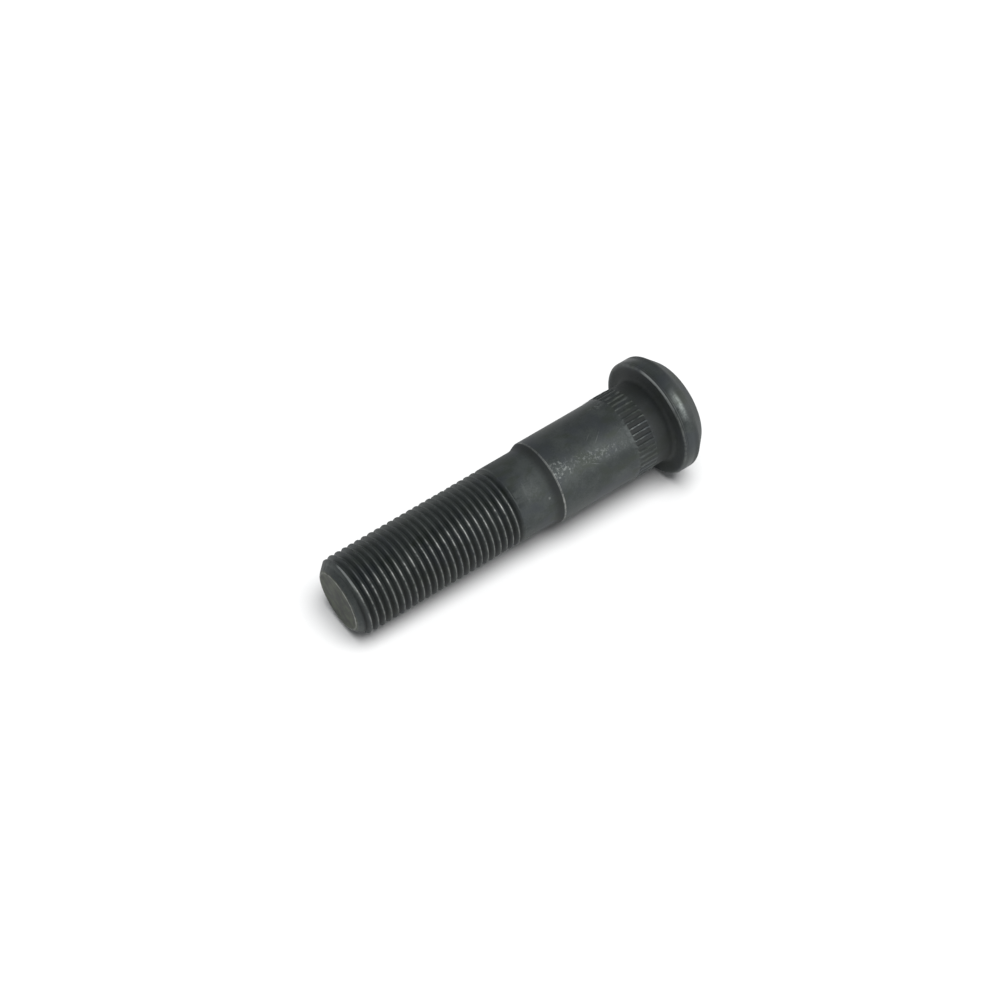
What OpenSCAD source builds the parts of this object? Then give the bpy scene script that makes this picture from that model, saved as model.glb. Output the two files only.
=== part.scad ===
// Wheel bolt of the press-in kind: one forged, turned and thread-rolled steel piece.
// It stands on its head. z = 0 is the head's back face and +Z runs along the axis to the tip of the thread.

/* [Length] */
// Length from the seating face under the head to the tip
bolt_len = 100; // [90:1:120]

/* [Head] */
// Diameter of the round head over its rim
head_d = 33.8; // [32:0.1:38]
// Thickness of the head from back face to seating face
head_t = 8.5; // [8:0.1:11]
// Diameter of the flat left on the back face
back_d = 26.6; // [22:0.1:28]
// Height of the forged chamfer round the back face
back_h = 3.9; // [3:0.1:5]
// Radius of the rounded edge between rim and seating face
rim_r = 1.1; // [0.6:0.1:1.5]
// Radius of the soft edge between rim and back chamfer
back_r = 1.2; // [0.6:0.1:1.5]
// Fillet where the shank runs into the seating face
fillet_r = 1.2; // [0.6:0.1:1.5]

/* [Shank] */
// Diameter of the plain guiding shank
shank_d = 24; // [23.4:0.1:24.4]
// Length of the step down from the shank to the neck
step_len = 2.2; // [1:0.1:4]
// Diameter of the plain neck between step and thread
neck_d = 22; // [21.9:0.1:22.4]
// Length of the plain neck
neck_len = 10; // [6:0.5:14]

/* [Serration] */
// Number of teeth round the press-fit band
teeth = 44; // [36:1:48]
// Angle of the first tooth's root
band_turn = 2.8; // [0:0.1:8]
// Height of the tooth tips over the plain shank
tooth_rise = 0.3; // [0.2:0.05:0.4]
// Depth of the tooth roots under the plain shank
tooth_dip = 0.1; // [0.05:0.05:0.2]
// Length of the toothed band
band_len = 6.3; // [4:0.1:8]
// Plain land between the toothed band and the seating face
band_gap = 5.7; // [4:0.1:8]
// Length over which the shank swells before the teeth begin
swell_len = 2.6; // [1:0.1:4]
// Radial height of that swell
swell_rise = 0.15; // [0.05:0.05:0.2]

/* [Thread] */
// Major diameter of the thread
thread_d = 22; // [21.9:0.1:22.4]
// Pitch of the single right-hand start
pitch = 2; // [1.8:0.1:2.2]
// Threaded length including the run-out
thread_len = 51; // [45:1:58]
// Angle at which the thread starts at the neck
thread_turn = 226.5; // [0:0.5:360]
// Length over which the groove fades out at the neck
run_out = 1.5; // [1:0.1:4]
// Diameter of the flat end face
tip_d = 17.6; // [17:0.1:19]
// Length of the chamfer at the tip
tip_len = 2.6; // [2:0.1:3.5]

/* [Hidden] */
$fn = 96;
full_turn = 360;
steel = [0.17, 0.19, 0.19];
head_r = head_d / 2;
back_face_r = back_d / 2;
shank_r = shank_d / 2;
neck_r = neck_d / 2;
thread_r = thread_d / 2;
tip_r = tip_d / 2;
swell_r = shank_r + swell_rise;
tooth_tip_r = shank_r + tooth_rise;
tooth_root_r = shank_r - tooth_dip;
core_r = tooth_root_r - tooth_dip;
band_z = head_t + band_gap;
band_end_z = band_z + band_len;
swell_end_z = band_end_z + swell_len;
tip_z = head_t + bolt_len;
thread_z = tip_z - thread_len;
neck_z = thread_z - neck_len;
step_z = neck_z - step_len;

// Arc of the profile as a few short chords
arc_parts = 5;
function arc(r0, z0, radius, from, to) = [
  for (i = [0 : arc_parts])
    let (a = from + (to - from) * i / arc_parts)
    [r0 + radius * cos(a), z0 + radius * sin(a)]
];

// Where the back chamfer's slope meets its soft edge
slope = atan2(back_h, head_r - back_face_r);
edge_turn = 90 - slope;
edge_rise = back_r * tan(edge_turn / 2);

// Sixty degree thread form with the standard flats at crest and root.
// Its four rows are the crest's two edges and the root's two edges.
flank_angle = 30;
crest_flat = pitch / 8;
root_flat = pitch / 4;
flank = (pitch - crest_flat - root_flat) / 2;
groove_depth = flank / tan(flank_angle);
row_z = [0, crest_flat, crest_flat + flank, crest_flat + flank + root_flat];
row_cut = [0, 0, groove_depth, groove_depth];
rows = len(row_z);

// The helix in straight steps, and the ring by which the thread sits on the neck
steps = 32;
first = -steps;
last = ceil(thread_len / pitch * steps);
seat_inset = 0.08;
seat_r = min(thread_r, neck_r) - seat_inset;

function faded(h) = min(1, max(0, h / run_out));
function chamfer_r(h) = tip_r + (thread_len - h) * (thread_r - tip_r) / tip_len;
function row_h(m, k) = min(thread_len, max(0, m * pitch / steps + row_z[k]));
function row_r(h, k) = min(thread_r - row_cut[k] * faded(h), chamfer_r(h));
function on_circle(r, m, z) =
  let (a = thread_turn + full_turn * m / steps)
  [r * cos(a), r * sin(a), z];
function wrap(m) = ((m % steps) + steps) % steps;

// Each helix row is followed step by step, and rows that pass an end are gathered on that end's ring
function vertex(m, k) =
  let (turn_m = k < rows ? m : m + steps, row = k % rows)
  let (h = turn_m * pitch / steps + row_z[row])
  h <= 0 ? wrap(turn_m)
  : h >= thread_len ? steps + wrap(turn_m)
  : 2 * steps + (turn_m - first) * rows + row;

thread_points = concat(
  [for (i = [0 : steps - 1]) on_circle(seat_r, i, 0)],
  [for (i = [0 : steps - 1]) on_circle(tip_r, i, thread_len)],
  [for (m = [first : last + steps], k = [0 : rows - 1])
    let (h = row_h(m, k))
    on_circle(row_r(h, k), m, h)]
);
thread_facets = [
  for (m = [first : last - 1], k = [0 : rows - 1], half = [0, 1])
    let (p = vertex(m, k), q = vertex(m + 1, k), s = vertex(m + 1, k + 1), t = vertex(m, k + 1))
    let (face = half == 0 ? [p, s, q] : [p, t, s])
    if (face[0] != face[1] && face[1] != face[2] && face[2] != face[0]) face
];
end_facets = [
  [for (i = [0 : steps - 1]) i],
  [for (i = [0 : steps - 1]) 2 * steps - 1 - i]
];

// One tooth as four corners: its place within the tooth's share of the turn, and its radius
tooth_angle = full_turn / teeth;
root_half = 0.16;
tip_half = 0.15;
tooth_corners = [
  [root_half, tooth_root_r],
  [0.5 - tip_half, tooth_tip_r],
  [0.5 + tip_half, tooth_tip_r],
  [1 - root_half, tooth_root_r]
];

module thread() {
  translate([0, 0, thread_z])
    polyhedron(points = thread_points, faces = concat(thread_facets, end_facets));
}

module turned_body() {
  rotate_extrude()
    polygon(concat(
      [[0, 0], [back_face_r, 0]],
      arc(head_r - back_r, back_h + edge_rise, back_r, -edge_turn, 0),
      arc(head_r - rim_r, head_t - rim_r, rim_r, 0, 90),
      arc(shank_r + fillet_r, head_t + fillet_r, fillet_r, 270, 180),
      [
        [shank_r, band_z],
        [core_r, band_z],
        [core_r, band_end_z],
        [swell_r, band_end_z],
        [shank_r, swell_end_z],
        [shank_r, step_z],
        [neck_r, neck_z],
        [neck_r, thread_z],
        [0, thread_z]
      ]
    ));
}

module serration() {
  translate([0, 0, band_z])
    linear_extrude(band_len)
      polygon([
        for (i = [0 : teeth - 1], corner = tooth_corners)
          let (a = band_turn + (i + corner[0]) * tooth_angle)
          [corner[1] * cos(a), corner[1] * sin(a)]
      ]);
}

module wheel_bolt() {
  color(steel)
    union() {
      turned_body();
      serration();
      thread();
    }
}

wheel_bolt();
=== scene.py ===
# %% [markdown]
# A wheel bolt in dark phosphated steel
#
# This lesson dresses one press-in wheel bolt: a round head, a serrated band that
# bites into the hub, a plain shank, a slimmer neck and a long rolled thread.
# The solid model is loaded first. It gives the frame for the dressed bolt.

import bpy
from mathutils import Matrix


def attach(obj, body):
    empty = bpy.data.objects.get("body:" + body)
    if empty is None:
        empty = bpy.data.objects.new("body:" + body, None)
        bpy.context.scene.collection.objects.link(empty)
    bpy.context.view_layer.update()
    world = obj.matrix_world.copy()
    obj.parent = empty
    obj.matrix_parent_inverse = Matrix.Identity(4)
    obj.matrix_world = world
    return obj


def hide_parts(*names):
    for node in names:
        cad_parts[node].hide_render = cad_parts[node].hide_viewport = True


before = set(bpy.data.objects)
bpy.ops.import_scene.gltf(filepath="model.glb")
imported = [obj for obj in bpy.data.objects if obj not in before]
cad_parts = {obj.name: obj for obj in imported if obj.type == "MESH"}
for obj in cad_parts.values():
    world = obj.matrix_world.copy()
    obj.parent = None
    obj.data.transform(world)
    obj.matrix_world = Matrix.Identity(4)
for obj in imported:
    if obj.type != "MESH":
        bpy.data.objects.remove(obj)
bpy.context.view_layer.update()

# %% [markdown]
# The bolt's real sizes
#
# A bolt is a turned form, so nearly all of it is said by a few diameters and
# lengths. They are written in millimetres, as on a workshop drawing, and turned
# into metres once. Heights are measured from the head's back face, up the axis.

# %% Sizes in millimetres
import math

import bpy
from mathutils import Matrix, Vector, noise

MM = 0.001
bolt_len = 100 * MM
head_d, head_t = 33.8 * MM, 8.5 * MM
back_d, back_h = 26.6 * MM, 3.9 * MM
back_r, lip_r, fillet_r = 1.2 * MM, 0.75 * MM, 1.2 * MM
shank_d, step_len = 24 * MM, 2.2 * MM
neck_d, neck_len = 22 * MM, 10 * MM
teeth, tooth_rise, tooth_dip = 44, 0.3 * MM, 0.1 * MM
band_len, band_gap, band_turn = 6.3 * MM, 5.7 * MM, math.radians(6.9)
swell_len, swell_rise = 2.6 * MM, 0.15 * MM
thread_d, pitch, thread_len = 22 * MM, 2 * MM, 51 * MM
thread_turn, run_out = math.radians(226.5), 1.5 * MM
tip_d, tip_len = 17.6 * MM, 2.6 * MM

head_r, shank_r, neck_r = head_d / 2, shank_d / 2, neck_d / 2
thread_r, tip_r = thread_d / 2, tip_d / 2
band_z = head_t + band_gap
band_end_z = band_z + band_len
tip_z = head_t + bolt_len
thread_z = tip_z - thread_len
neck_z = thread_z - neck_len
step_z = neck_z - step_len
print("thread starts at", round(thread_z * 1000, 1), "mm and ends at", round(tip_z * 1000, 1), "mm")

# %% [markdown]
# The profile from the head to the neck
#
# On a lathe the tool draws one line from end to end, and turning does the rest.
# The same line is built here as a list of rings. Each ring has a radius and a
# height, and three shares: wear (an edge that is rubbed bright), tooth (how far
# the serrated band has come up) and painted shading (painted shade on corners,
# creases and faces that lie in shade, which goes a little over 1 in the
# darkest). Real edges are never sharp, so each corner is a small arc. A Screw
# modifier would turn such a line too, but the teeth, the knocks and the wear
# have to know every point, so the points are worked out one by one.

# %% Rings of the profile
rings = []


def ring(r, z, wear=0.0, tooth=0.0, painted_shading=0.0):
    rings.append((r, z, wear, tooth, painted_shading))


def corner(r, z, radius, start, end, parts, wear=0.0, painted_shading=0.0):
    """A rounded corner about the centre (r, z), from one angle to the other."""
    for i in range(parts + 1):
        a = math.radians(start + (end - start) * i / parts)
        ring(r + radius * math.cos(a), z + radius * math.sin(a), wear, 0.0, painted_shading)


# %% [markdown]
# The head comes first. Its back face is the flat that the bolt stands on, and a
# forged chamfer runs from there to the rim. The corner between the two is worn
# by every knock, and a Bevel modifier would round it, but three rings do the
# same and carry the wear with them.

# %% Back of the head
back_flat_r = back_d / 2
back_slope = math.degrees(math.atan2(back_h, head_r - back_flat_r))
edge_turn = 90 - back_slope
edge_rise = back_r * math.tan(math.radians(edge_turn / 2))
rim_z = back_h + edge_rise
soft = 0.35 * MM
for share in (0.3, 0.6, 0.85):
    ring(back_flat_r * share, 0)
ring(back_flat_r - soft, 0, wear=0.2)
ring(back_flat_r - soft * 0.2, soft * 0.06, wear=0.9)
ring(back_flat_r + soft * 0.5, soft * 0.62, wear=0.58)
# The chamfer and the corner to the rim are painted dark as shade, which dulls their bright reflection.
for share in (0.15, 0.3, 0.55, 0.8):
    ring(back_flat_r + (head_r - back_flat_r) * share, back_h * share, painted_shading=0.4)
corner(head_r - back_r, rim_z, back_r, -edge_turn, 0, 6, wear=0.2, painted_shading=0.5)
print("forged chamfer:", round(back_slope, 1), "degrees")

# %% [markdown]
# The rim is a short cylinder with a fine crease where the die closed, and a
# rounded lip leads to the seating face. The crease is a tenth of a millimetre
# deep. A cut with a Boolean modifier could make it, but a dip in the line is
# simpler and leaves clean faces. The crease, the lower part of the lip and the
# seating face are painted dark as shade.

# %% Rim, lip and seating face
crease = 0.1 * MM
crease_z = head_t - lip_r - crease
# The rim just above the back corner carries a little painted shade.
for above, shade_share in ((0.6, 0.4), (1.4, 0.0)):
    ring(head_r, rim_z + above * MM, painted_shading=shade_share)
ring(head_r, crease_z - crease * 2)
ring(head_r - crease * 0.9, crease_z, painted_shading=1)
ring(head_r - crease * 0.4, crease_z + crease, painted_shading=1)
corner(head_r - lip_r, head_t - lip_r, lip_r, 6, 26, 2, wear=0.1, painted_shading=0.3)
corner(head_r - lip_r, head_t - lip_r, lip_r, 36, 80, 4, wear=0.45)
for inward, rubbed, shade_share in ((1.2, 0.2, 0.0), (1.6, 0.0, 0.6), (2.2, 0.0, 0.9)):
    ring(head_r - lip_r * inward, head_t, wear=rubbed, painted_shading=shade_share)
ring((head_r + shank_r) / 2, head_t, painted_shading=1)
print("head:", len(rings), "rings")

# %% [markdown]
# Above the seating face a small fillet keeps the head from cracking off. Then
# come the plain land, the serrated band that bites into the hub, and the low
# swell that rolling the teeth pushes up. Copies of one tooth in an Array would
# have to be joined to the shank. Here the rings only say how far the teeth have
# come up, and the points of a ring are moved in and out later.

# %% Land, band and swell
# Painted shade: the fillet and the land next to the head are darkened, as the head shades them, less towards
# the band.
corner(shank_r + fillet_r, head_t + fillet_r, fillet_r, 270, 180, 6, painted_shading=1)
for before, shade_share in ((1.8, 1.1), (0.6, 1.0), (0.0, 0.9)):
    ring(shank_r, band_z - before * MM, painted_shading=shade_share)
tooth_fade = 0.5 * MM
# The teeth nearest the head get less wear, as painted shade of the head, and the wear grows towards the far
# end of the band.
wear_in_head_shade = 0.4
for share in (0.5, 1.0):
    ring(shank_r, band_z + tooth_fade * share, wear=share * wear_in_head_shade, tooth=share)
tooth_rings = 12
for i in range(2, tooth_rings - 1):
    tooth_wear_and_shade = wear_in_head_shade + (1 - wear_in_head_shade) * i / tooth_rings
    ring(shank_r, band_z + band_len * i / tooth_rings, wear=tooth_wear_and_shade, tooth=1)
for share in (1.0, 0.5):
    swollen_r = shank_r + swell_rise * (1 - share)
    ring(swollen_r, band_end_z - tooth_fade * share, wear=share, tooth=share)
ring(shank_r + swell_rise, band_end_z)
ring(shank_r + swell_rise * 0.5, band_end_z + swell_len * 0.5)
ring(shank_r, band_end_z + swell_len)
print("band:", teeth, "teeth,", round(band_len * 1000, 1), "mm long")

# %% [markdown]
# The shank is plain turned steel. Its end is a sharp edge that catches knocks
# and shines. A cone leads down to the neck and ends in a soft foot, because a
# corner there would start a crack. The cone and the foot are painted dark as
# shade, less up the neck. The foot is too small for an arc to matter, so it is
# given as places along the bolt and rises over the neck, both in millimetres.

# %% Shank, step and neck
plain_len = step_z - band_end_z - swell_len
for share in (0.25, 0.5, 0.75):
    ring(shank_r, band_end_z + swell_len + plain_len * share)
edge = 0.1 * MM
ring(shank_r, step_z - edge * 3.5)
ring(shank_r - edge * 0.05, step_z - edge, wear=1)
ring(shank_r - edge * 0.3, step_z, wear=1)
ring(shank_r - edge * 0.8, step_z + edge, wear=0.9)
step_slope = (shank_r - neck_r) / step_len
ring(shank_r - edge * 4 * step_slope, step_z + edge * 4, painted_shading=1.2)
foot = ((-0.9, 0.41), (-0.5, 0.25), (-0.2, 0.15), (0.1, 0.08), (0.5, 0.02), (0.9, 0.0))
for along, lift in foot:
    ring(neck_r + lift * MM, neck_z + along * MM, painted_shading=0.6 - 0.6 * along)
for share in (0.25, 0.5, 0.75):
    ring(neck_r, neck_z + neck_len * share)
ring(neck_r, thread_z)
print("profile:", len(rings), "rings")

# %% [markdown]
# The thread
#
# A thread is one groove wound round the rod, so its mesh follows the helix
# too: every row of points climbs by one pitch in a turn, and crest and root
# stay smooth lines without any steps. A Screw modifier could wind a drawn form,
# but it could neither let the groove fade at the neck nor let the chamfer cut
# it, so a formula places the points. The rows below are one pitch of the 60
# degree form: its offset up the axis, its depth, its wear and its painted
# shading, which paints the groove dark as shade. The crest is slightly rounded
# and the root is round, as rolling dies leave them.

# %% One pitch of the thread form
root_depth = 0.613 * pitch
root_side_depth = root_depth - 0.02 * pitch
flank_end = 0.375 * pitch
flank_depth = 0.541 * pitch
crest_half = pitch / 16
crest_side_depth = 0.03 * MM
shoulder = 0.11 * pitch
shoulder_depth = (shoulder - crest_half) * math.tan(math.radians(60))
form = [
    (-crest_half, crest_side_depth, 0.85, 0.0),
    (0.0, 0.0, 1.0, 0.0),
    (crest_half, crest_side_depth, 0.85, 0.0),
    (shoulder, shoulder_depth, 0.5, 0.3),
    (flank_end, flank_depth, 0.0, 0.9),
    (0.435 * pitch, root_side_depth, 0.0, 1.0),
    (0.5 * pitch, root_depth, 0.0, 1.0),
    (0.565 * pitch, root_side_depth, 0.0, 1.0),
    (pitch - flank_end, flank_depth, 0.0, 0.9),
    (pitch - shoulder, shoulder_depth, 0.5, 0.3),
]
print("thread form:", len(form), "rows a pitch, groove", round(root_depth * 1000, 2), "mm deep")

# %% [markdown]
# Three things change the plain form. The groove fades out at the neck, where
# the rolling dies lift off. The chamfer at the tip cuts all rows down to one
# cone, so that the first turn starts as a sliver. And a bolt that has lain in
# a box with others has small nicks in its crests and knocks round its end.

# %% How deep the groove is at each place
end_bevel, bevel_drop = 0.5 * MM, 0.3 * MM
nick_depth, nicks_per_metre = 0.12 * MM, 420
knock_depth, knocks_round, knocks_per_metre = 0.16 * MM, 7, 600


def nick(x, y, z):
    """Small dents, only where slow noise peaks."""
    n = noise.noise(Vector((x, y, z)) * nicks_per_metre)
    return min(nick_depth, nick_depth * max(0.0, n - 0.3) / 0.25)


def knock(a, z):
    """Uneven knocks round the end of the bolt."""
    spot = (math.cos(a) * knocks_round, math.sin(a) * knocks_round, z * knocks_per_metre)
    return knock_depth * max(0.0, min(1.0, noise.fractal(Vector(spot), 0.8, 2.0, 3)))


def thread_radius(height, depth, on_crest, a):
    """Radius of the thread at a height over its start, and whether the tip's cone cuts it."""
    r = thread_r - depth * min(1.0, max(0.0, height / run_out))
    if on_crest:
        r -= nick(math.cos(a) * thread_r, math.sin(a) * thread_r, height)
    to_tip = thread_len - bevel_drop - height
    cone = tip_r + to_tip * (thread_r - tip_r) / (tip_len - bevel_drop)
    if cone < r:
        return cone - knock(a, thread_z + height), True
    return r, False


middle_r = thread_radius(thread_len / 2, 0, True, 0)[0]
print("crest radius at the thread's middle:", round(middle_r * 1000, 2), "mm")

# %% [markdown]
# Wear and painted shading differ round the bolt as well. The crests are rubbed
# hardest along one line, which faces the camera and the side box, and least on
# the upper side beside it: real wear with painted highlight and shade. The
# grooves on the side that lies low in the picture are painted dark as shade,
# and those of the other side paler as painted light, which is stored below 0.

# %% Wear and painted shading round the thread
lit_rub_line = math.radians(-93)
shaded_spared_line = math.radians(-42)
shaded_side_line = math.radians(-150)


def beside(a, line, width):
    """1 on a line along the bolt, and falling to 0 on both sides of it."""
    off = (a - line + math.pi) % (2 * math.pi) - math.pi
    return math.exp(-((off / width) ** 2))


# Crest wear, made brighter along the lit line and duller on the upper side: painted highlight and shade over
# real wear.
def crest_wear_and_sheen(a):
    return 0.62 + 0.38 * beside(a, lit_rub_line, 0.2) - 0.28 * beside(a, shaded_spared_line, 0.6)


# Painted shade in the grooves of the low side, and painted light, below 0, on the other side.
def groove_shading(a):
    return max(-0.8, min(1.4, 2.2 * (math.cos(a - shaded_side_line) - 0.26)))


print("groove dirt from", groove_shading(shaded_side_line + math.pi), "to", groove_shading(shaded_side_line))

# %% [markdown]
# From rings to a mesh
#
# All rings have the same number of points, six for each tooth of the band, so
# neighbours join with plain four-sided faces. The six are not evenly spread:
# two carry the narrow crest of the tooth and four its broad valley. The helix
# rows use the same columns. Where a row would pass the end of the thread it is
# gathered on the ring there, which closes the mesh without a seam.

# %% Points of the turned part
tooth_parts = (-0.09, 0.09, 0.24, 0.41, 0.59, 0.76)
tooth_form = (tooth_rise, tooth_rise, -tooth_dip, -tooth_dip, -tooth_dip, -tooth_dip)
columns = teeth * len(tooth_parts)
tooth_turn = 2 * math.pi / teeth
angles = [band_turn + tooth_turn * (k + part) for k in range(teeth) for part in tooth_parts]
beads_round, beads_per_metre = 20, 900
points, faces, wear_and_sheen_values, painted_shading_values = [(0.0, 0.0, 0.0)], [], [0.0], [0.0]


def add_point(r, a, z, wear, painted_shading):
    points.append((r * math.cos(a), r * math.sin(a), z))
    wear_and_sheen_values.append(wear)
    painted_shading_values.append(painted_shading)
    return len(points) - 1


def tooth_bead(a, z):
    """How full a tooth is at a place, from 0 to 1. Rolling leaves it slightly beaded."""
    spot = (math.cos(a) * beads_round, math.sin(a) * beads_round, z * beads_per_metre)
    return min(1.0, max(0.0, 0.5 + noise.noise(Vector(spot))))


# Wear on the teeth, raised on the side facing the camera and the side box and lowered on the upper side:
# real wear with painted highlight and shade.
def tooth_wear_and_sheen(a):
    return 0.3 + 0.32 * beside(a, lit_rub_line, 0.36) - 0.18 * beside(a, shaded_spared_line, 0.6)


def add_ring(r, z, wear=0.0, tooth=0.0, painted_shading=0.0, knocked=0.0):
    """One ring of points. Returns the number of its first point."""
    first = len(points)
    for i, a in enumerate(angles):
        lift = tooth_form[i % len(tooth_form)] * tooth - knock(a, z) * knocked
        rubbed, shade_share = wear, painted_shading
        if tooth > 0 and lift > 0:
            full = tooth_bead(a, z)
            lift *= 0.4 + 0.6 * full
            rubbed = wear * tooth_wear_and_sheen(a) * (0.3 + 0.7 * full)
        # The valleys between the teeth are painted dark as shade, most between the bright teeth of the lit
        # side.
        if tooth > 0 and lift < 0:
            rubbed, shade_share = 0.0, tooth * min(1.3, 2.6 * tooth_wear_and_sheen(a))
        add_point(r + lift, a, z, rubbed, shade_share)
    return first


def join(lower, upper):
    """Four-sided faces between two rings."""
    for i in range(columns):
        j = (i + 1) % columns
        faces.append((lower + i, lower + j, upper + j, upper + i))


starts = [add_ring(*values) for values in rings]
for i in range(columns):
    faces.append((0, starts[0] + (i + 1) % columns, starts[0] + i))
for lower, upper in zip(starts, starts[1:]):
    join(lower, upper)
print("turned part:", len(points), "points")

# %% [markdown]
# The tip's end face closes the top. A small soft bevel leads to it, which is
# knocked out of round, and the face itself is three rings and a centre point.
# Each step says how far a ring lies inside the tip's radius and under the end
# of the bolt, and how much it is worn and knocked.

# %% Points of the tip
tip_steps = [
    (0.0, bevel_drop, 0.3, 1.0),
    (end_bevel * 0.25, bevel_drop * 0.55, 0.35, 1.0),
    (end_bevel * 0.7, bevel_drop * 0.12, 0.5, 0.7),
    (end_bevel, 0.0, 1.0, 0.4),
    (end_bevel + 0.25 * MM, 0.0, 0.8, 0.0),
    (end_bevel + 0.6 * MM, 0.0, 0.0, 0.0),
    (tip_r * 0.5, 0.0, 0.0, 0.0),
]
tip_rings = []
for inward, drop, rubbed, knocked in tip_steps:
    tip_rings.append(add_ring(tip_r - inward, tip_z - drop, rubbed, knocked=knocked))
for lower, upper in zip(tip_rings, tip_rings[1:]):
    join(lower, upper)
tip_centre = add_point(0.0, 0.0, tip_z, 0.0, 0.0)
for i in range(columns):
    faces.append((tip_rings[-1] + i, tip_rings[-1] + (i + 1) % columns, tip_centre))
print("tip:", len(tip_rings), "rings and a centre")

# %% [markdown]
# The thread fills the space between the neck's last ring and the tip's first
# one. A step is one column further round the helix, and steps go on growing
# turn after turn, so that a step and a row of the form name one point. Up to
# four faces share a point, so it is made when it is first asked for and then
# kept in a dictionary.

# %% Points of the thread
neck_ring, tip_ring = starts[-1], tip_rings[0]
helix = {}


def turn_of(step):
    """The angle of a column, which goes on growing past one turn."""
    return angles[step % columns] + 2 * math.pi * (step // columns)


def helix_point(step, row):
    """The number of one point of the helix, or of the end ring's point that it is gathered on."""
    if row == len(form):
        step, row = step + columns, 0
    offset, depth, wear, painted_shading = form[row]
    height = pitch * (turn_of(step) - thread_turn) / (2 * math.pi) + crest_half + offset
    if height <= 0:
        return neck_ring + step % columns
    if height >= thread_len - bevel_drop:
        return tip_ring + step % columns
    if (step, row) not in helix:
        a = angles[step % columns]
        r, cut = thread_radius(height, depth, wear > 0, a)
        if cut:
            deep = (thread_r - r) / root_depth
            wear, painted_shading = max(0.0, 1 - deep * 3), 0.1
        fade = min(1.0, height / run_out)
        # Wear brightened on the lit side, and painted shade or light in the groove.
        rubbed, shading = wear * fade * crest_wear_and_sheen(a), painted_shading * fade * groove_shading(a)
        helix[step, row] = add_point(r, a, thread_z + height, rubbed, shading)
    return helix[step, row]


# %% [markdown]
# The faces start two turns before the thread and end two turns after it. Out
# there all four corners of a face are gathered on the same ring, and such a
# face is left out. At the thread's two ends some faces keep only three corners.

# %% Faces of the thread
spare_steps = 2 * columns
first_step = math.floor((thread_turn - band_turn) / (2 * math.pi) * columns) - spare_steps
last_step = first_step + math.ceil(thread_len / pitch * columns) + 2 * spare_steps
for step in range(first_step, last_step):
    for row in range(len(form)):
        a, b = helix_point(step, row), helix_point(step + 1, row)
        c, d = helix_point(step + 1, row + 1), helix_point(step, row + 1)
        corners = list(dict.fromkeys((a, b, c, d)))
        if len(corners) > 2:
            faces.append(tuple(corners))
print("whole bolt:", len(points), "points,", len(faces), "faces")

# %% [markdown]
# The lists become one mesh. Wear and grime are stored on the points, where the
# material can read them. Faces are shaded smooth, and edges that turn by more
# than 38 degrees stay crisp, as the thread's crests and the teeth do.

# %% The bolt's mesh


def add_object(name, data):
    """Puts a mesh, a lamp or a camera into the scene."""
    made = bpy.data.objects.new(name, data)
    bpy.context.scene.collection.objects.link(made)
    return made


mesh = bpy.data.meshes.new("bolt_mesh")
mesh.from_pydata(points, [], faces)
mesh.validate()
for name, values in (("wear", wear_and_sheen_values), ("painted_shading", painted_shading_values)):
    mesh.attributes.new(name, "FLOAT", "POINT").data.foreach_set("value", values)
mesh.shade_smooth()
mesh.set_sharp_from_angle(angle=math.radians(38))
bolt = add_object("bolt_body", mesh)
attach(bolt, "root")
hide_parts("wheel_bolt")
mesh.calc_loop_triangles()
print("triangles:", len(mesh.loop_triangles))

# %% [markdown]
# Helpers for the finish
#
# A material is a small graph of nodes. These helpers make a node, set its
# sockets and join it up in one line, so that the recipe below reads from top
# to bottom.

# %% Node helpers


def new_material(name):
    made = bpy.data.materials.new(name)
    made.use_nodes = True
    made.node_tree.nodes.clear()
    return made, made.node_tree


def put(tree, socket, value):
    """Sets a socket, or links it where the value is another node's output."""
    if isinstance(value, bpy.types.NodeSocket):
        tree.links.new(value, socket)
    elif hasattr(socket.default_value, "__len__") and len(socket.default_value) == 4 and len(value) == 3:
        socket.default_value = (*value, 1)
    else:
        socket.default_value = value


def node(tree, kind, settings=None, **sockets):
    """Makes a node. Sockets are named, with _ for a space, or numbered as i0, i1."""
    made = tree.nodes.new(kind)
    for key, value in (settings or {}).items():
        setattr(made, key, value)
    for key, value in sockets.items():
        numbered = key[0] == "i" and key[1:].isdigit()
        put(tree, made.inputs[int(key[1:]) if numbered else key.replace("_", " ")], value)
    return made


# %% [markdown]
# The next helpers are the words of the recipe. They add, multiply and blend,
# turn a value into a soft yes or no, and sprinkle noise of a given size.

# %% Sums, bands and speckles


def maths(tree, operation, *values):
    made = tree.nodes.new("ShaderNodeMath")
    made.operation = operation
    for socket, value in zip(made.inputs, values):
        put(tree, socket, value)
    return made.outputs[0]


def product(tree, *values):
    """Multiplies any number of values."""
    result = values[0]
    for value in values[1:]:
        result = maths(tree, "MULTIPLY", result, value)
    return result


def band(tree, value, low, high):
    """0 at low, 1 at high and smooth between. Low may be the larger one."""
    made = node(tree, "ShaderNodeMapRange", {"interpolation_type": "SMOOTHSTEP"}, Value=value)
    made.inputs["From Min"].default_value = low
    made.inputs["From Max"].default_value = high
    return made.outputs[0]


def speckle(tree, place, size, detail=3.0, rough=0.55, stretch=(1, 1, 1)):
    """Noise whose lumps are about size metres across, longer where stretch is over 1."""
    scaled = node(tree, "ShaderNodeMapping", {"vector_type": "POINT"}, Vector=place)
    scaled.inputs["Scale"].default_value = [1 / s for s in stretch]
    made = node(tree, "ShaderNodeTexNoise", Vector=scaled.outputs[0])
    made.inputs["Scale"].default_value = 1 / size
    made.inputs["Detail"].default_value = detail
    made.inputs["Roughness"].default_value = rough
    return made.outputs["Fac"]


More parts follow.
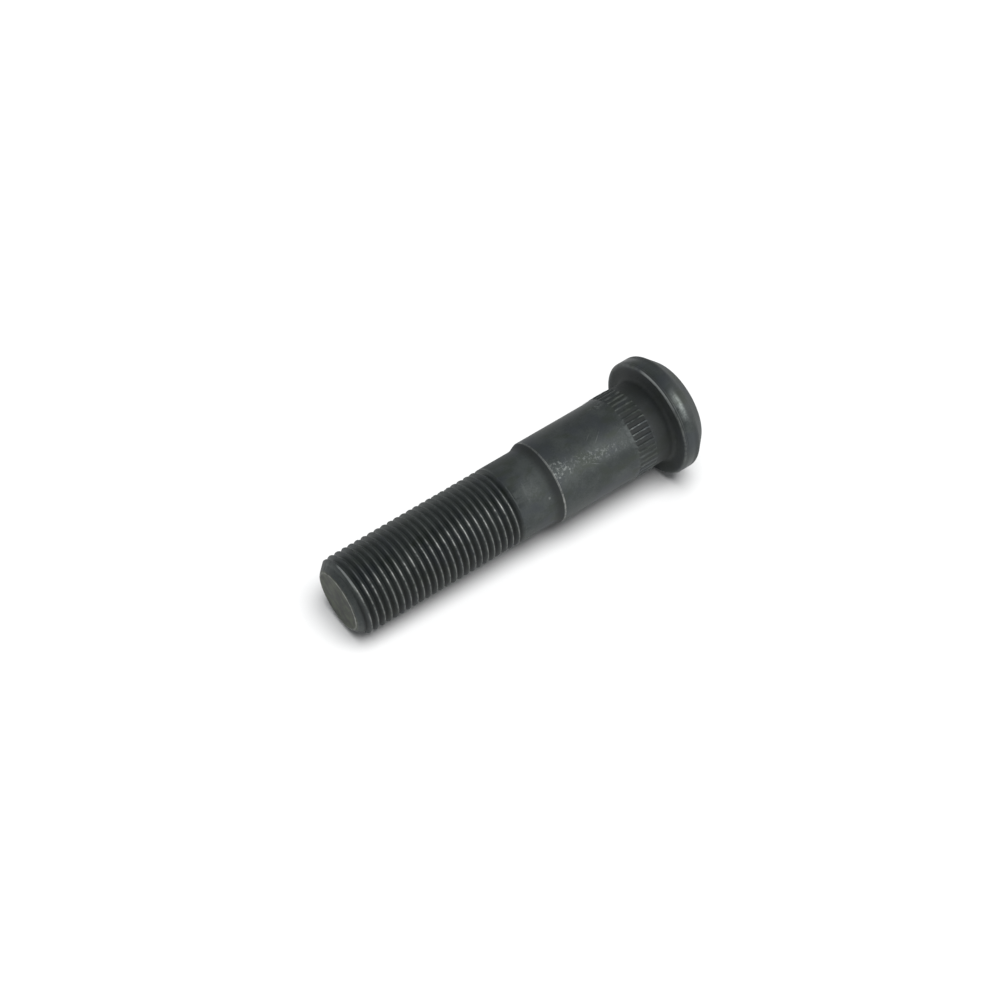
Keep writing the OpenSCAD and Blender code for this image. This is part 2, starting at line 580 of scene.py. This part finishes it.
def blend_colour(tree, factor, under, over):
    return node(tree, "ShaderNodeMix", {"data_type": "RGBA"}, i0=factor, i6=under, i7=over).outputs[2]


# %% [markdown]
# Phosphated steel
#
# Wheel bolts are dipped in hot phosphate and oiled. That leaves a dark grey
# skin, faintly green, made of fine crystals. It is satin rather than shiny and
# slightly cloudy. A picture wrapped round the bolt would show a seam, so the
# colour is layers of noise in the bolt's own space: slow clouds with fine
# grain, broad patches that lean to blue, and greener stains drawn out along
# the axis, as the oil ran.

# %% Base colour of the coating
steel, tree = new_material("phosphated_steel")
place = node(tree, "ShaderNodeTexCoord").outputs["Object"]
clouds = speckle(tree, place, 7 * MM, detail=4)
grain = speckle(tree, place, 0.45 * MM, detail=2)
coat_dark = (0.042, 0.050, 0.049)
coat_light = (0.081, 0.092, 0.088)
coat_blue = (0.054, 0.062, 0.070)
coat_stain = (0.048, 0.058, 0.046)
tone = maths(tree, "ADD", product(tree, clouds, 0.7), product(tree, grain, 0.3))
coat = blend_colour(tree, band(tree, tone, 0.34, 0.66), coat_dark, coat_light)
blue_patch = product(tree, band(tree, speckle(tree, place, 8 * MM, detail=3), 0.48, 0.64), 0.7)
coat = blend_colour(tree, blue_patch, coat, coat_blue)
stain = band(tree, speckle(tree, place, 5 * MM, detail=4, rough=0.65, stretch=(1, 1, 1.7)), 0.5, 0.66)
coat = blend_colour(tree, product(tree, stain, 0.8), coat, coat_stain)
print("coating:", len(tree.nodes), "nodes")

# %% [markdown]
# The end face of the tip was cropped before the coating, so it took the
# phosphate differently: lighter, mottled and a little yellow. It could have a
# material of its own, but a mask keeps the bolt in one. The mask is simply the
# height, because nothing else reaches up there.

# %% The tip's face
axes = node(tree, "ShaderNodeSeparateXYZ", Vector=place)
on_face = band(tree, axes.outputs["Z"], tip_z - 0.3 * MM, tip_z - 0.02 * MM)
mottle = band(tree, speckle(tree, place, 3.2 * MM, detail=3, rough=0.6), 0.36, 0.64)
face_dark, face_light = (0.008, 0.012, 0.006), (0.052, 0.064, 0.034)
face_tone = blend_colour(tree, mottle, face_dark, face_light)
coat = blend_colour(tree, product(tree, on_face, 0.9), coat, face_tone)
print("end face from", round(tip_z * 1000 - 0.3, 1), "mm up")

# %% [markdown]
# Painted shade and painted light come from the shading share that the mesh
# stores. Above 0 it is painted shade, which darkens the coat, and below 0 it
# is painted light, which makes it paler. Taking the larger of the value and 0
# splits one from the other.

# %% Painted shade and light
painted_shade_tone, painted_light_tone = (0.018, 0.020, 0.019), (0.13, 0.145, 0.14)
stored_shading = node(tree, "ShaderNodeAttribute", {"attribute_name": "painted_shading"}).outputs["Fac"]
painted_shading = maths(tree, "MAXIMUM", stored_shading, 0.0)
painted_light = maths(tree, "MAXIMUM", product(tree, stored_shading, -1.0), 0.0)
coat = blend_colour(tree, product(tree, painted_shading, 0.55), coat, painted_shade_tone)
coat = blend_colour(tree, product(tree, painted_light, 0.8), coat, painted_light_tone)
print("stored grime from", round(min(painted_shading_values), 2), "to", round(max(painted_shading_values), 2))

# %% [markdown]
# Worn edges
#
# Where edges rub against other bolts the skin is polished through to brighter
# steel. The wear share from the mesh says where an edge is, and noise breaks it
# up. One side of the bolt, facing the camera and the side box, is made brighter
# than the rest: partly wear and partly painted highlight.

# %% Wear on crests and edges
wear = node(tree, "ShaderNodeAttribute", {"attribute_name": "wear"}).outputs["Fac"]
lit_rub_turn = math.radians(-106)
lit_rub_way = (math.cos(lit_rub_turn), math.sin(lit_rub_turn), 0)
flat_place = node(tree, "ShaderNodeVectorMath", {"operation": "MULTIPLY"}, i0=place, i1=(1, 1, 0)).outputs[0]
outward = node(tree, "ShaderNodeVectorMath", {"operation": "NORMALIZE"}, i0=flat_place).outputs[0]
facing = node(tree, "ShaderNodeVectorMath", {"operation": "DOT_PRODUCT"}, i0=outward, i1=lit_rub_way)
rubbed_and_lit_side = maths(tree, "ADD", 0.45, product(tree, band(tree, facing.outputs["Value"], 0.55, 0.92), 0.55))
patchy = band(tree, speckle(tree, place, 1.7 * MM, detail=5, rough=0.7), 0.3, 0.62)
worn_and_lit = product(tree, band(tree, wear, 0.15, 0.95), patchy, rubbed_and_lit_side)
worn_and_lit_steel = (0.42, 0.43, 0.41)
coloured = blend_colour(tree, product(tree, worn_and_lit, 0.92), coat, worn_and_lit_steel)
print("stored wear up to", round(max(wear_and_sheen_values), 2))

# %% [markdown]
# Handling marks
#
# A trail of light flecks runs along the side of the shank, densest just behind
# the step, and a rubbed patch sits on the neck. They could be painted by hand on
# an unwrapped mesh. Here each mark is an oval area in which thin noise is let
# through, so that it can be moved by changing one number. An oval can lean, as
# the trail does.

# %% Ovals


def oval(centre, size, lean_degrees=0.0):
    """1 in the middle of an oval area and 0 outside it. Sizes are half-widths in mm."""
    moved = node(tree, "ShaderNodeMapping", {"vector_type": "TEXTURE"}, Vector=place)
    moved.inputs["Location"].default_value = [c * MM for c in centre]
    moved.inputs["Rotation"].default_value = (0, math.radians(lean_degrees), 0)
    moved.inputs["Scale"].default_value = [s * MM for s in size]
    span = node(tree, "ShaderNodeVectorMath", {"operation": "LENGTH"}, i0=moved.outputs[0]).outputs["Value"]
    return band(tree, span, 1.0, 0.4)


def strongest(*values):
    result = values[0]
    for value in values[1:]:
        result = maths(tree, "MAXIMUM", result, value)
    return result


# %% [markdown]
# Flecks are small and sparse, scrapes are broad and soft, and stray marks are
# rare and lie anywhere on the bolt. Each area below takes the one that fits it,
# and where areas overlap the stronger mark wins.

# %% Scuffs on shank and neck
fleck = band(tree, speckle(tree, place, 0.8 * MM, detail=5, rough=0.7), 0.5, 0.62)
scrape = band(tree, speckle(tree, place, 2.3 * MM, detail=6, rough=0.65), 0.3, 0.7)
stray = band(tree, speckle(tree, place, 1.3 * MM, detail=6, rough=0.75), 0.66, 0.74)
before_step = band(tree, axes.outputs["Z"], step_z, step_z - 0.3 * MM)
behind_step = product(tree, oval((0.0, -12, 43.4), (3.8, 4, 5.2)), before_step, fleck, 1.2)
trail = product(tree, oval((-1.2, -12, 32.0), (2.2, 4, 13.0), 11), fleck, 0.6)
on_neck = product(tree, oval((-0.6, -11, 52.3), (5.6, 4, 2.9)), maths(tree, "ADD", scrape, fleck), 0.16)
neck_edge = product(tree, oval((-0.4, -11, 54.0), (4.2, 4, 0.6), 4), patchy, 0.3)
neck_score = product(tree, oval((2.4, -11, 51.4), (0.3, 3, 2.2), -3), fleck, 0.5)
neck_spot = product(tree, oval((-4.9, -10, 48.7), (0.45, 2, 0.45)), 0.8)
near_band = product(tree, oval((9.8, -6, 23.0), (2.5, 4, 3.0)), fleck, 0.7)
areas = (behind_step, trail, on_neck, neck_edge, neck_score, neck_spot, near_band)
marks_and_glints = strongest(*areas)
print("marked areas:", len(areas))

# %% [markdown]
# A few marks are lines. Fine scratches are very thin ovals: for each the list
# has its place across and up the shank, half its length and its tilt. Two
# edges, the first turn at the tip and the edge of the seating face, get a
# painted highlight only along part of their way, where the distance from the
# axis also keeps the line thin.

# %% Scratches and painted edge highlights
scratch_list = [
    (2.6, 29.0, 2.8, -38),
    (3.6, 31.5, 1.8, -34),
    (-3.4, 33.0, 2.2, 28),
    (1.2, 22.5, 1.6, -20),
]
scratch_half_width = 0.14
scratches = []
for x, z, half_length, tilt in scratch_list:
    scratches.append(oval((x, -11.5, z), (scratch_half_width, 3, half_length), tilt))
scratched = product(tree, strongest(*scratches), patchy, 0.5)
from_axis = node(tree, "ShaderNodeVectorMath", {"operation": "LENGTH"}, i0=flat_place).outputs["Value"]
outermost = band(tree, from_axis, thread_r - 0.55 * MM, thread_r - 0.2 * MM)
first_turn_glint = product(tree, oval((5.0, -9.8, 106.1), (6.5, 3.4, 0.8)), outermost)
lip_outer = band(tree, from_axis, head_r - lip_r * 0.15, head_r - lip_r * 0.35)
lip_inner = band(tree, from_axis, head_r - lip_r * 1.4, head_r - lip_r * 1.1)
lip_glint = product(tree, oval((5.6, -14.6, 8.4), (10.5, 5, 1.2)), lip_outer, lip_inner)
edge_glints = strongest(first_turn_glint, lip_glint)
marks_and_glints = strongest(marks_and_glints, scratched, edge_glints, product(tree, stray, 0.4))
scuffed_steel, glint_steel = (0.30, 0.32, 0.31), (0.44, 0.46, 0.45)
coloured = blend_colour(tree, product(tree, marks_and_glints, 0.62), coloured, scuffed_steel)
coloured = blend_colour(tree, product(tree, edge_glints, 0.7), coloured, glint_steel)
print("scratches:", len(scratches))

# %% [markdown]
# Gloss
#
# Bare steel reflects as metal and the coating only partly so. Worn places and
# the head's rim, which the forging die has burnished, are smoother than the
# rest. Places painted with shade and the neck are duller. One pair of numbers
# for the whole bolt would look like plastic, so both start from the coat's own
# value and the masks above add to it or take from it.

# %% How metallic and how rough
coat_metal, coat_rough = 0.35, 0.43
rim_highlight_steel = (0.23, 0.25, 0.24)
on_rim = band(tree, from_axis, head_r - 0.5 * MM, head_r - 0.1 * MM)
on_rim = product(tree, on_rim, band(tree, axes.outputs["Z"], 4.8 * MM, 5.8 * MM))
# A painted highlight: an oval on the rim, where the side box gleams, takes a lighter steel colour and more
# metal.
rim_highlight = oval((-1.0, -16.8, 6.5), (5.6, 4, 1.6))
past_step = band(tree, axes.outputs["Z"], neck_z - 0.5 * MM, neck_z + 0.5 * MM)
before_thread = band(tree, axes.outputs["Z"], thread_z + 0.2 * MM, thread_z - 0.2 * MM)
neck_skin = product(tree, past_step, before_thread)
metal = strongest(product(tree, worn_and_lit, 0.6), product(tree, marks_and_glints, 0.36), product(tree, rim_highlight, 0.35))
metal = maths(tree, "ADD", coat_metal, metal)
metal = maths(tree, "SUBTRACT", metal, product(tree, painted_shading, 0.3))
metal = maths(tree, "SUBTRACT", metal, product(tree, neck_skin, 0.1))
rough = maths(tree, "ADD", coat_rough, product(tree, band(tree, clouds, 0.3, 0.7), 0.08))
rough = maths(tree, "SUBTRACT", rough, product(tree, on_rim, 0.14))
rough = maths(tree, "SUBTRACT", rough, product(tree, worn_and_lit, 0.1))
rough = maths(tree, "ADD", rough, product(tree, painted_shading, 0.22))
rough = maths(tree, "ADD", rough, product(tree, neck_skin, 0.12))
coloured = blend_colour(tree, product(tree, rim_highlight, patchy, 0.6), coloured, rim_highlight_steel)
print("coat: metallic", coat_metal, "and roughness", coat_rough)

# %% [markdown]
# The crystals give a very fine relief, and turning leaves faint rings round the
# axis, which only show where light grazes the shank. Moving the mesh for them
# would take millions of faces, so a Bump node tilts the surface for the light
# only. Noise stretched forty times round the axis makes the turning marks.

# %% Relief and shader
relief_depth = 0.05 * MM
turning = speckle(tree, place, 0.25 * MM, detail=2, stretch=(40, 40, 1))
relief = maths(tree, "ADD", product(tree, grain, 0.6), product(tree, turning, 0.4))
relief = maths(tree, "SUBTRACT", relief, product(tree, marks_and_glints, 0.5))
bump = node(tree, "ShaderNodeBump", Height=relief, Strength=0.35, Distance=relief_depth)
shader = node(
    tree,
    "ShaderNodeBsdfPrincipled",
    Base_Color=coloured,
    Metallic=metal,
    Roughness=rough,
    Normal=bump.outputs[0],
)
node(tree, "ShaderNodeOutputMaterial", Surface=shader.outputs[0])
mesh.materials.append(steel)
print("finish:", len(tree.nodes), "nodes")

# %% [markdown]
# The table top
#
# In the photograph the bolt lies on a white table, touching it with the rim of
# its head and with the thread near the tip. The model itself stands on its
# head and has to stay there, because it shares its frame with the solid model.
# So the table is turned and not the bolt: a plane that leans against those two
# places.

# %% Table plane
touch_span = 98.2 * MM
table_azimuth = math.radians(-54.3)
lean = math.asin((head_r - thread_r) / touch_span)
level_way = Vector((math.cos(table_azimuth), math.sin(table_azimuth), 0))
up_from_table = level_way * math.cos(lean) - Vector((0, 0, math.sin(lean)))
table_turn = up_from_table.to_track_quat("Z", "Y").to_matrix().to_4x4()
rim_touch = Vector((0, 0, 7.5 * MM)) - level_way * head_r
table_half = 1.5
table_mesh = bpy.data.meshes.new("table_mesh")
square = [(-1, -1, 0), (1, -1, 0), (1, 1, 0), (-1, 1, 0)]
table_mesh.from_pydata([tuple(table_half * c for c in p) for p in square], [], [(0, 1, 2, 3)])
table = add_object("table_top", table_mesh)
table.matrix_world = Matrix.Translation(rim_touch - up_from_table * 0.05 * MM) @ table_turn
table.visible_shadow = False
print("table leans", round(math.degrees(lean), 2), "degrees from the bolt's axis")

# %% [markdown]
# The camera sees the table as a pale card that reads white in the open, with
# the bolt's shadow on it. The metal sees the same card in a greyer tone, so
# that its lower side mirrors a calm light grey, and dark where the shadow is.
# A Light Path node tells the two apart. Seen from behind the card is clear, so
# it never hides the bolt.

# %% Table finish
card, tree = new_material("white_card")
light_path = node(tree, "ShaderNodeLightPath")
mirrored_tone = (0.38, 0.38, 0.38)
card_tone = (0.55, 0.55, 0.55)
tone_seen = blend_colour(tree, light_path.outputs["Is Camera Ray"], mirrored_tone, card_tone)
paper = node(tree, "ShaderNodeBsdfDiffuse", Color=tone_seen)
behind = node(tree, "ShaderNodeNewGeometry").outputs["Backfacing"]
clear = node(tree, "ShaderNodeBsdfTransparent")
sides = node(tree, "ShaderNodeMixShader", i0=behind, i1=paper.outputs[0], i2=clear.outputs[0])
node(tree, "ShaderNodeOutputMaterial", Surface=sides.outputs[0])
card.cycles.emission_sampling = "NONE"
table_mesh.materials.append(card)
print("card tone", card_tone[0], "and mirrored", mirrored_tone[0])

# %% [markdown]
# The studio
#
# The light is plain and soft. A half dome over the table stands for the grey
# walls and ceiling of the studio, which is why the upper side of the metal
# reads darker than the side that mirrors the white table. A modelled room would
# bring corners and windows into the metal, and a plain dome keeps it calm.

# %% Studio dome
middle = Vector((0, 0, tip_z / 2))
dome_r = 1.2
dome_mesh = bpy.data.meshes.new("dome_mesh")
dome_rows, dome_columns = 12, 48
dome_foot, dome_rise = 1, 88.9
dome_points, dome_faces = [], []
for i in range(dome_rows + 1):
    up = math.radians(dome_foot + dome_rise * i / dome_rows)
    out, high = dome_r * math.cos(up), dome_r * math.sin(up)
    for j in range(dome_columns):
        turn = 2 * math.pi * j / dome_columns
        dome_points.append((out * math.cos(turn), out * math.sin(turn), high))
for i in range(dome_rows):
    for j in range(dome_columns):
        p, k = i * dome_columns, (j + 1) % dome_columns
        dome_faces.append((p + j, p + k, p + dome_columns + k, p + dome_columns + j))
dome_mesh.from_pydata(dome_points, [], dome_faces)
dome = add_object("studio_dome", dome_mesh)
dome.matrix_world = Matrix.Translation(middle) @ table_turn
dome.visible_camera = False
dome.visible_shadow = False
print("dome:", len(dome_faces), "faces")

# %% [markdown]
# The dome glows by itself, a little brighter near the table, where walls catch
# light from it, and darker towards the ceiling.

# %% Dome finish
walls, tree = new_material("studio_walls")
dome_place = node(tree, "ShaderNodeTexCoord").outputs["Object"]
height = node(tree, "ShaderNodeSeparateXYZ", Vector=dome_place).outputs["Z"]
wall_colour, ceiling_colour = (0.48, 0.49, 0.5), (0.36, 0.37, 0.38)
wall_tone = blend_colour(tree, band(tree, height, 0.0, dome_r * 0.5), wall_colour, ceiling_colour)
wall_light = node(tree, "ShaderNodeEmission", Color=wall_tone, Strength=1.0)
node(tree, "ShaderNodeOutputMaterial", Surface=wall_light.outputs[0])
walls.cycles.emission_sampling = "NONE"
dome_mesh.materials.append(walls)
print("walls", wall_colour, "ceiling", ceiling_colour)

# %% [markdown]
# Behind the dome the world is white for the camera and in reflections. As soft
# light it's only half as strong, so that the lamps shape the bolt.

# %% World
world = bpy.data.worlds.new("studio_world")
world.use_nodes = True
tree = world.node_tree
tree.nodes.clear()
light_path = node(tree, "ShaderNodeLightPath")
seen = maths(tree, "MAXIMUM", light_path.outputs["Is Camera Ray"], light_path.outputs["Is Glossy Ray"])
seen = maths(tree, "MAXIMUM", seen, light_path.outputs["Is Transmission Ray"])
soft_level = 0.5
level = maths(tree, "ADD", soft_level, product(tree, seen, 1 - soft_level))
sky = node(tree, "ShaderNodeBackground", Color=(1, 1, 1), Strength=level)
node(tree, "ShaderNodeOutputWorld", Surface=sky.outputs[0])
bpy.context.scene.world = world
print("world: soft light at", soft_level)

# %% [markdown]
# Three lamps finish the light. A soft box stands in front of the bolt, towards
# its head. It puts the satin gleam on the rim and leaves the seating face and
# the step in shade. A second one behind the bolt shows its far side. It is kept
# out of reflections, where it would draw a bright rim round the outline. A very
# wide sun over the table, leaning a little to the camera's side, stands for a
# large softbox there: its shadow is dark under the bolt and runs out after a
# few millimetres. Light linking keeps each lamp to its own task, so that none
# makes another's surface too bright.

# %% Lamps
only_table = bpy.data.collections.new("only_table")
only_table.objects.link(table)
only_bolt = bpy.data.collections.new("only_bolt")
only_bolt.objects.link(bolt)


def add_lamp(name, kind, towards, distance, energy, lit):
    """A lamp that stands in a direction from the bolt's middle and looks at it."""
    made = add_object(name, bpy.data.lights.new(name, kind))
    made.data.energy = energy
    towards = towards.normalized()
    made.location = middle + towards * distance
    made.rotation_mode = "QUATERNION"
    made.rotation_quaternion = towards.to_track_quat("Z", "Y")
    made.light_linking.receiver_collection = lit
    return made


side_box = add_lamp("side_box", "AREA", Vector((-0.15, -0.72, -0.68)), 0.5, 1.45, only_bolt)
back_box = add_lamp("back_box", "AREA", Vector((-0.2, 1.0, 0.3)), 0.6, 1.2, only_bolt)
for box, width in ((side_box, 0.4), (back_box, 0.3)):
    box.data.shape = "SQUARE"
    box.data.size = width
back_box.visible_glossy = False
along = (Vector((0, 0, 1)) - up_from_table * up_from_table.z).normalized()
across = up_from_table.cross(along)
table_sun = add_lamp("table_sun", "SUN", up_from_table + across * 0.28, 1.0, 5.3, only_table)
table_sun.data.angle = math.radians(42)
print("the camera's side of the table is towards", [round(c, 2) for c in across])

# %% [markdown]
# The camera
#
# A picture made from this close shows perspective: the tip looks larger than
# the same diameter near the head. The camera therefore stands where the
# photograph's camera stood, measured from the bolt, and is rolled so that the
# bolt lies across the picture.

# %% Camera
camera_data = bpy.data.cameras.new("photo_camera")
camera_data.sensor_width = 36
camera_data.lens = 63.85
camera = add_object("photo_camera", camera_data)
camera_place = Vector((0, -433.7 * MM, 223.4 * MM))
camera_aim = Vector((1.265 * MM, 0, 57.0 * MM))
camera_roll = Matrix.Rotation(math.radians(-120.52), 4, "Z").to_quaternion()
look = (camera_aim - camera_place).normalized()
camera.rotation_mode = "QUATERNION"
camera.rotation_quaternion = look.to_track_quat("-Z", "Y") @ camera_roll
camera.location = camera_place
bpy.context.scene.camera = camera
print("camera", round((camera_place - camera_aim).length * 1000), "mm from the bolt")

# %% [markdown]
# Finish
#
# The plain Standard view keeps colours as they are written.

# %% Finish
bpy.context.scene.view_settings.view_transform = "Standard"
bpy.context.view_layer.update()
